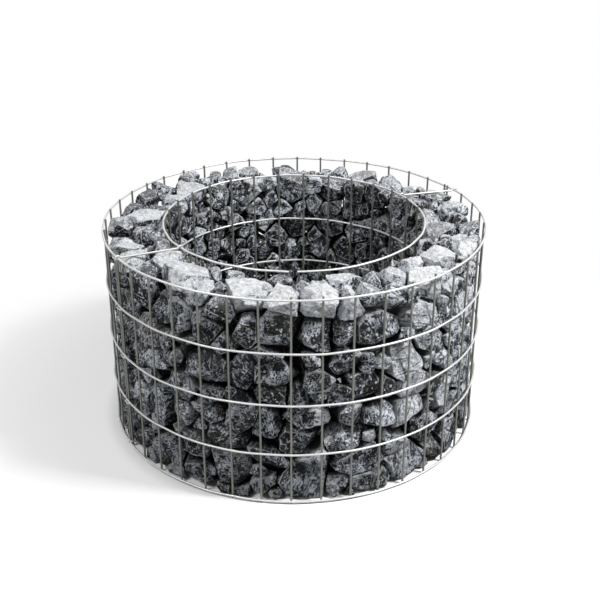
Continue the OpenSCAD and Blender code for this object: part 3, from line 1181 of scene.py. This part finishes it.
long_veins = cracks(place, 17, 0.020, 0.006) * stone.ramp(bed, 0.44, 0.54)
coarse_cracks = cracks(streaked, 60, 0.06, 0.006) * stone.ramp(cloud, 0.50, 0.60)
fissures = cracks(layered, 14, 0.05, 0.010) * stone.ramp(bed, 0.46, 0.56)
marks = stone.spots(place, 200, 3, 0.65, 0.575, 0.61) * stone.ramp(bed, 0.38, 0.58)
glints = stone.spots(place, 150, 2, 0.6, 0.62, 0.65)
chalk = stone.ramp(rubble, 0.56, 0.66) * stone.ramp(bed, 0.46, 0.62)
olive = stone.spots(place, 20, 3, 0.5, 0.54, 0.66)

patches = stone.spots(place, 42, 4, 0.6, 0.43, 0.57)
local_tone = stone.ramp(tone + 0.95 * (facet - 0.5) + 0.4 * (patches - 0.5), -0.12, 1.05)
thicker = local_tone - 0.4
speckle = stone.ramp(stone.noise(streaked, 300, 2, 0.6) + 0.20 * thicker, 0.54, 0.575)
speckle = speckle * stone.ramp(cloud + 0.16 * thicker, 0.41, 0.50)
scratches = 1 - stone.ramp(abs(stone.noise(streaked, 120, 2, 0.5) - 0.5), 0.010, 0.045)
scratches = scratches * stone.ramp(cloud + 0.16 * thicker, 0.45, 0.52)

whiteness = stone.ramp(tone, 0.75, 1.0)
# Pale rims: partly wear of the crushed edges, partly a painted highlight, stronger where the edge faces
# up.
rim_mask = stone.ramp(edge * (0.15 + 0.9 * rubble + 0.5 * cloud), 0.52, 0.80)
worn_edge_and_highlight = rim_mask * (0.35 + 0.65 * stone.ramp(facing, -0.3, 0.3))
# Pale dust on upward faces, with painted light on the same faces: paler near the top of the wall, and
# darker lower down as painted shade.
open_and_lit_share = 0.45 + 0.55 * stone.ramp(height, 0.30, 0.375)
dust_and_top_light = stone.ramp(facing + 0.6 * (cloud - 0.5), 0.35, 0.85) * open_and_lit_share * (0.12 + 0.88 * tone)
dust_and_top_light_colour = stone.mix(stone.ramp(rubble, 0.3, 0.65), grey(0.50, 0.2), grey(0.88, 0.1))
# Painted shade: the stones darken deep inside the wall, away from both cages and below the top.
from_axis = stone.vector_of("LENGTH", {0: stone.stretched(object_place, (1, 1, 0))}, output=1)
depth = stone.math_of("MINIMUM", FILL_OUT - from_axis, from_axis - FILL_IN)
depth = stone.math_of("MINIMUM", depth, 0.5 * (FRONT_TOP - height))
painted_crevice_shade = stone.ramp(depth, 0.011, 0.030)
# Painted shade: the stones are darker towards the ground.
foot_shade = 1 - stone.ramp(height, 0.0, 0.16)

rock_dark = stone.mix(local_tone, grey(0.008, 1.5), grey(0.07, 0.9))
rock_pale = stone.mix(local_tone, grey(0.52, 1.2), grey(0.94, 0.5))
rock = stone.mix(speckle, rock_dark, rock_pale)
for share, colour in (
        (olive * 0.4, (0.105, 0.11, 0.078, 1)),
        (warmth, (0.15, 0.125, 0.095, 1)),
        (chalk * 0.4, grey(0.40, 0.7)),
        (marks * 0.8, grey(0.52, 0.8)),
        (scratches * 0.9, rock_pale),
        (coarse_cracks * 0.6, grey(0.60, 0.3)),
        (long_veins * 0.9, grey(0.75, 0.2)),
        (glints * 0.9, grey(0.80, 0.2)),
        (whiteness * 0.45, grey(0.72, 0.2)),
        (fissures * 0.9, grey(0.006)),
        (worn_edge_and_highlight * 0.9, grey(0.60, 0.3)),
        (dust_and_top_light, dust_and_top_light_colour),
        (painted_crevice_shade * 0.75, grey(0.006)),
        (foot_shade * 0.35, grey(0.015))):
    rock = stone.mix(share, rock, colour)
stone.plug(stone.shader.inputs["Base Color"], rock)
stone.plug(stone.shader.inputs["Roughness"], 0.68 + 0.2 * grain)
stone.shader.inputs["Specular IOR Level"].default_value = SHEEN
creases = abs(stone.noise(place, 75, 5, 0.6) - 0.5)
stone.bump(1.0, RELIEF_DEPTH, 0.25 * cloud + 0.5 * rubble + 0.6 * creases + 0.10 * grain)
for piece in stone_pieces:
    piece.data.materials.append(stone.material)
print("stone finish:", len(stone.tree.nodes), "nodes")

# %% [markdown]
# ### Galvanised wire
# Hot-dip zinc is a light grey metal with a faint cloudy spangle, and weather dulls it. It is
# about half metallic, with a middling roughness that changes slowly along the wire, so that no
# wire is one even highlight. All the wire is one zinc, but its colour carries painted light: dull
# as if in shade on the uprights, bright as if lit from above on the ring wires, spacers and ties.

# %% Wire finish
ZINC_METALLIC = 0.45
SPANGLE_DEPTH = 0.0006
zinc = Finish("galvanised wire")
zinc_place = zinc.object_place()
spangle = zinc.noise(zinc_place, 160, 3, 0.5)
dulling = zinc.noise(zinc_place, 22, 4, 0.55)
lit_share = zinc.attribute("wire_painted_light", 2)
# Painted light: the shaded zinc colour goes on the uprights, the lit one on the ring wires, spacers and
# ties.
shaded_zinc = zinc.mix(spangle, (0.145, 0.15, 0.132, 1), (0.26, 0.265, 0.245, 1))
lit_zinc = zinc.mix(spangle, grey(0.48), grey(0.68))
zinc.plug(zinc.shader.inputs["Base Color"], zinc.mix(lit_share, shaded_zinc, lit_zinc))
zinc.plug(zinc.shader.inputs["Roughness"], 0.30 + 0.3 * dulling)
zinc.shader.inputs["Metallic"].default_value = ZINC_METALLIC
zinc.bump(0.25, SPANGLE_DEPTH, spangle)
for piece in wire_pieces:
    piece.data.materials.append(zinc.material)

# %% [markdown]
# ## Floor, light and camera
# The floor and the background are plain and pale. The floor adds a little of its own light for
# camera rays only, so that it comes out nearly white without lighting the stones from below,
# and it still takes their shadow.

# %% Floor
FLOOR_R = 14.0
FLOOR_CORNERS = 96
GLOW_NEAR = 0.45
floor_turns = np.linspace(0, 360, FLOOR_CORNERS + 1)[:-1]
floor = mesh_object("floor", around(floor_turns, FLOOR_R, 0.0), [list(range(FLOOR_CORNERS))], {})
paper = Finish("pale floor")
light_path = paper.tree.nodes.new("ShaderNodeLightPath")
seen = paper.math_of("MAXIMUM", Reading(paper, light_path.outputs["Is Camera Ray"]),
                     paper.math_of("MAXIMUM", Reading(paper, light_path.outputs["Is Glossy Ray"]),
                                   Reading(paper, light_path.outputs["Is Transmission Ray"])))
floor_reach = paper.vector_of("LENGTH", {0: paper.object_place()}, output=1)
paper.plug(paper.shader.inputs["Base Color"], paper.mix(seen, grey(0.30), grey(0.85)))
paper.shader.inputs["Roughness"].default_value = 0.9
glow = paper.node("ShaderNodeEmission", None, {"Color": grey(1.0), "Strength": 1.0})
near_glow = GLOW_NEAR * paper.ramp(floor_reach, 0.36, 0.40)
far_glow = (1 - GLOW_NEAR) * paper.ramp(floor_reach, 0.40, 1.10)
lit = Reading(paper, paper.shader.outputs[0])
cover = paper.node("ShaderNodeMixShader", None, {0: seen * (near_glow + far_glow), 1: lit, 2: glow})
paper.plug(paper.tree.nodes["Material Output"].inputs["Surface"], cover)
floor.data.materials.append(paper.material)

# %% [markdown]
# The world is white where the camera looks straight at it or sees it mirrored, and lights the
# stones with no more than a small share of that. A strong soft lamp stands at the upper right,
# where the sun was, and a weaker, softer one at the upper left fills its shadows.

# %% World and lamps
WORLD_LEVEL = 0.13
KEY_LAMP = ((2.1, -0.7, 2.8), 0.6, 160)
FILL_LAMP = ((-1.7, -1.3, 2.8), 1.0, 62)
AIM = (0, 0, 0.2)
world = bpy.data.worlds.new("studio")
bpy.context.scene.world = world
world.use_nodes = True
sky = world.node_tree.nodes["Background"]
sky.inputs["Color"].default_value = grey(1.0)
path_node = world.node_tree.nodes.new("ShaderNodeLightPath")
level = None
for ray in ("Is Camera Ray", "Is Glossy Ray", "Is Transmission Ray"):
    larger = world.node_tree.nodes.new("ShaderNodeMath")
    larger.operation = "MAXIMUM"
    larger.inputs[0].default_value = WORLD_LEVEL
    world.node_tree.links.new(path_node.outputs[ray], larger.inputs[1])
    if level:
        world.node_tree.links.new(level, larger.inputs[0])
    level = larger.outputs[0]
world.node_tree.links.new(level, sky.inputs["Strength"])


def area_lamp(name, place, size, power):
    """A square soft lamp at a place, aimed at the middle of the wall."""
    lamp = bpy.data.lights.new(name, "AREA")
    lamp.size = size
    lamp.energy = power
    holder = bpy.data.objects.new(name, lamp)
    bpy.context.scene.collection.objects.link(holder)
    holder.location = place
    holder.rotation_euler = (Vector(AIM) - Vector(place)).to_track_quat("-Z", "Y").to_euler()


area_lamp("key", *KEY_LAMP)
area_lamp("sky", *FILL_LAMP)

# %% [markdown]
# The camera stands where the photo was taken from: its place, tilt and lens were fitted to the
# ring wires and the uprights.

# %% Camera
CAMERA_PLACE = (0.0, -1.8403, 1.1268)
CAMERA_TILT = 63.95
CAMERA_PAN = -0.35
CAMERA_LENS = 61.02
camera_data = bpy.data.cameras.new("camera")
camera_data.lens = CAMERA_LENS
camera = bpy.data.objects.new("camera", camera_data)
bpy.context.scene.collection.objects.link(camera)
camera.location = CAMERA_PLACE
camera.rotation_euler = (math.radians(CAMERA_TILT), 0, math.radians(CAMERA_PAN))
bpy.context.scene.camera = camera
bpy.context.scene.view_settings.view_transform = "Standard"
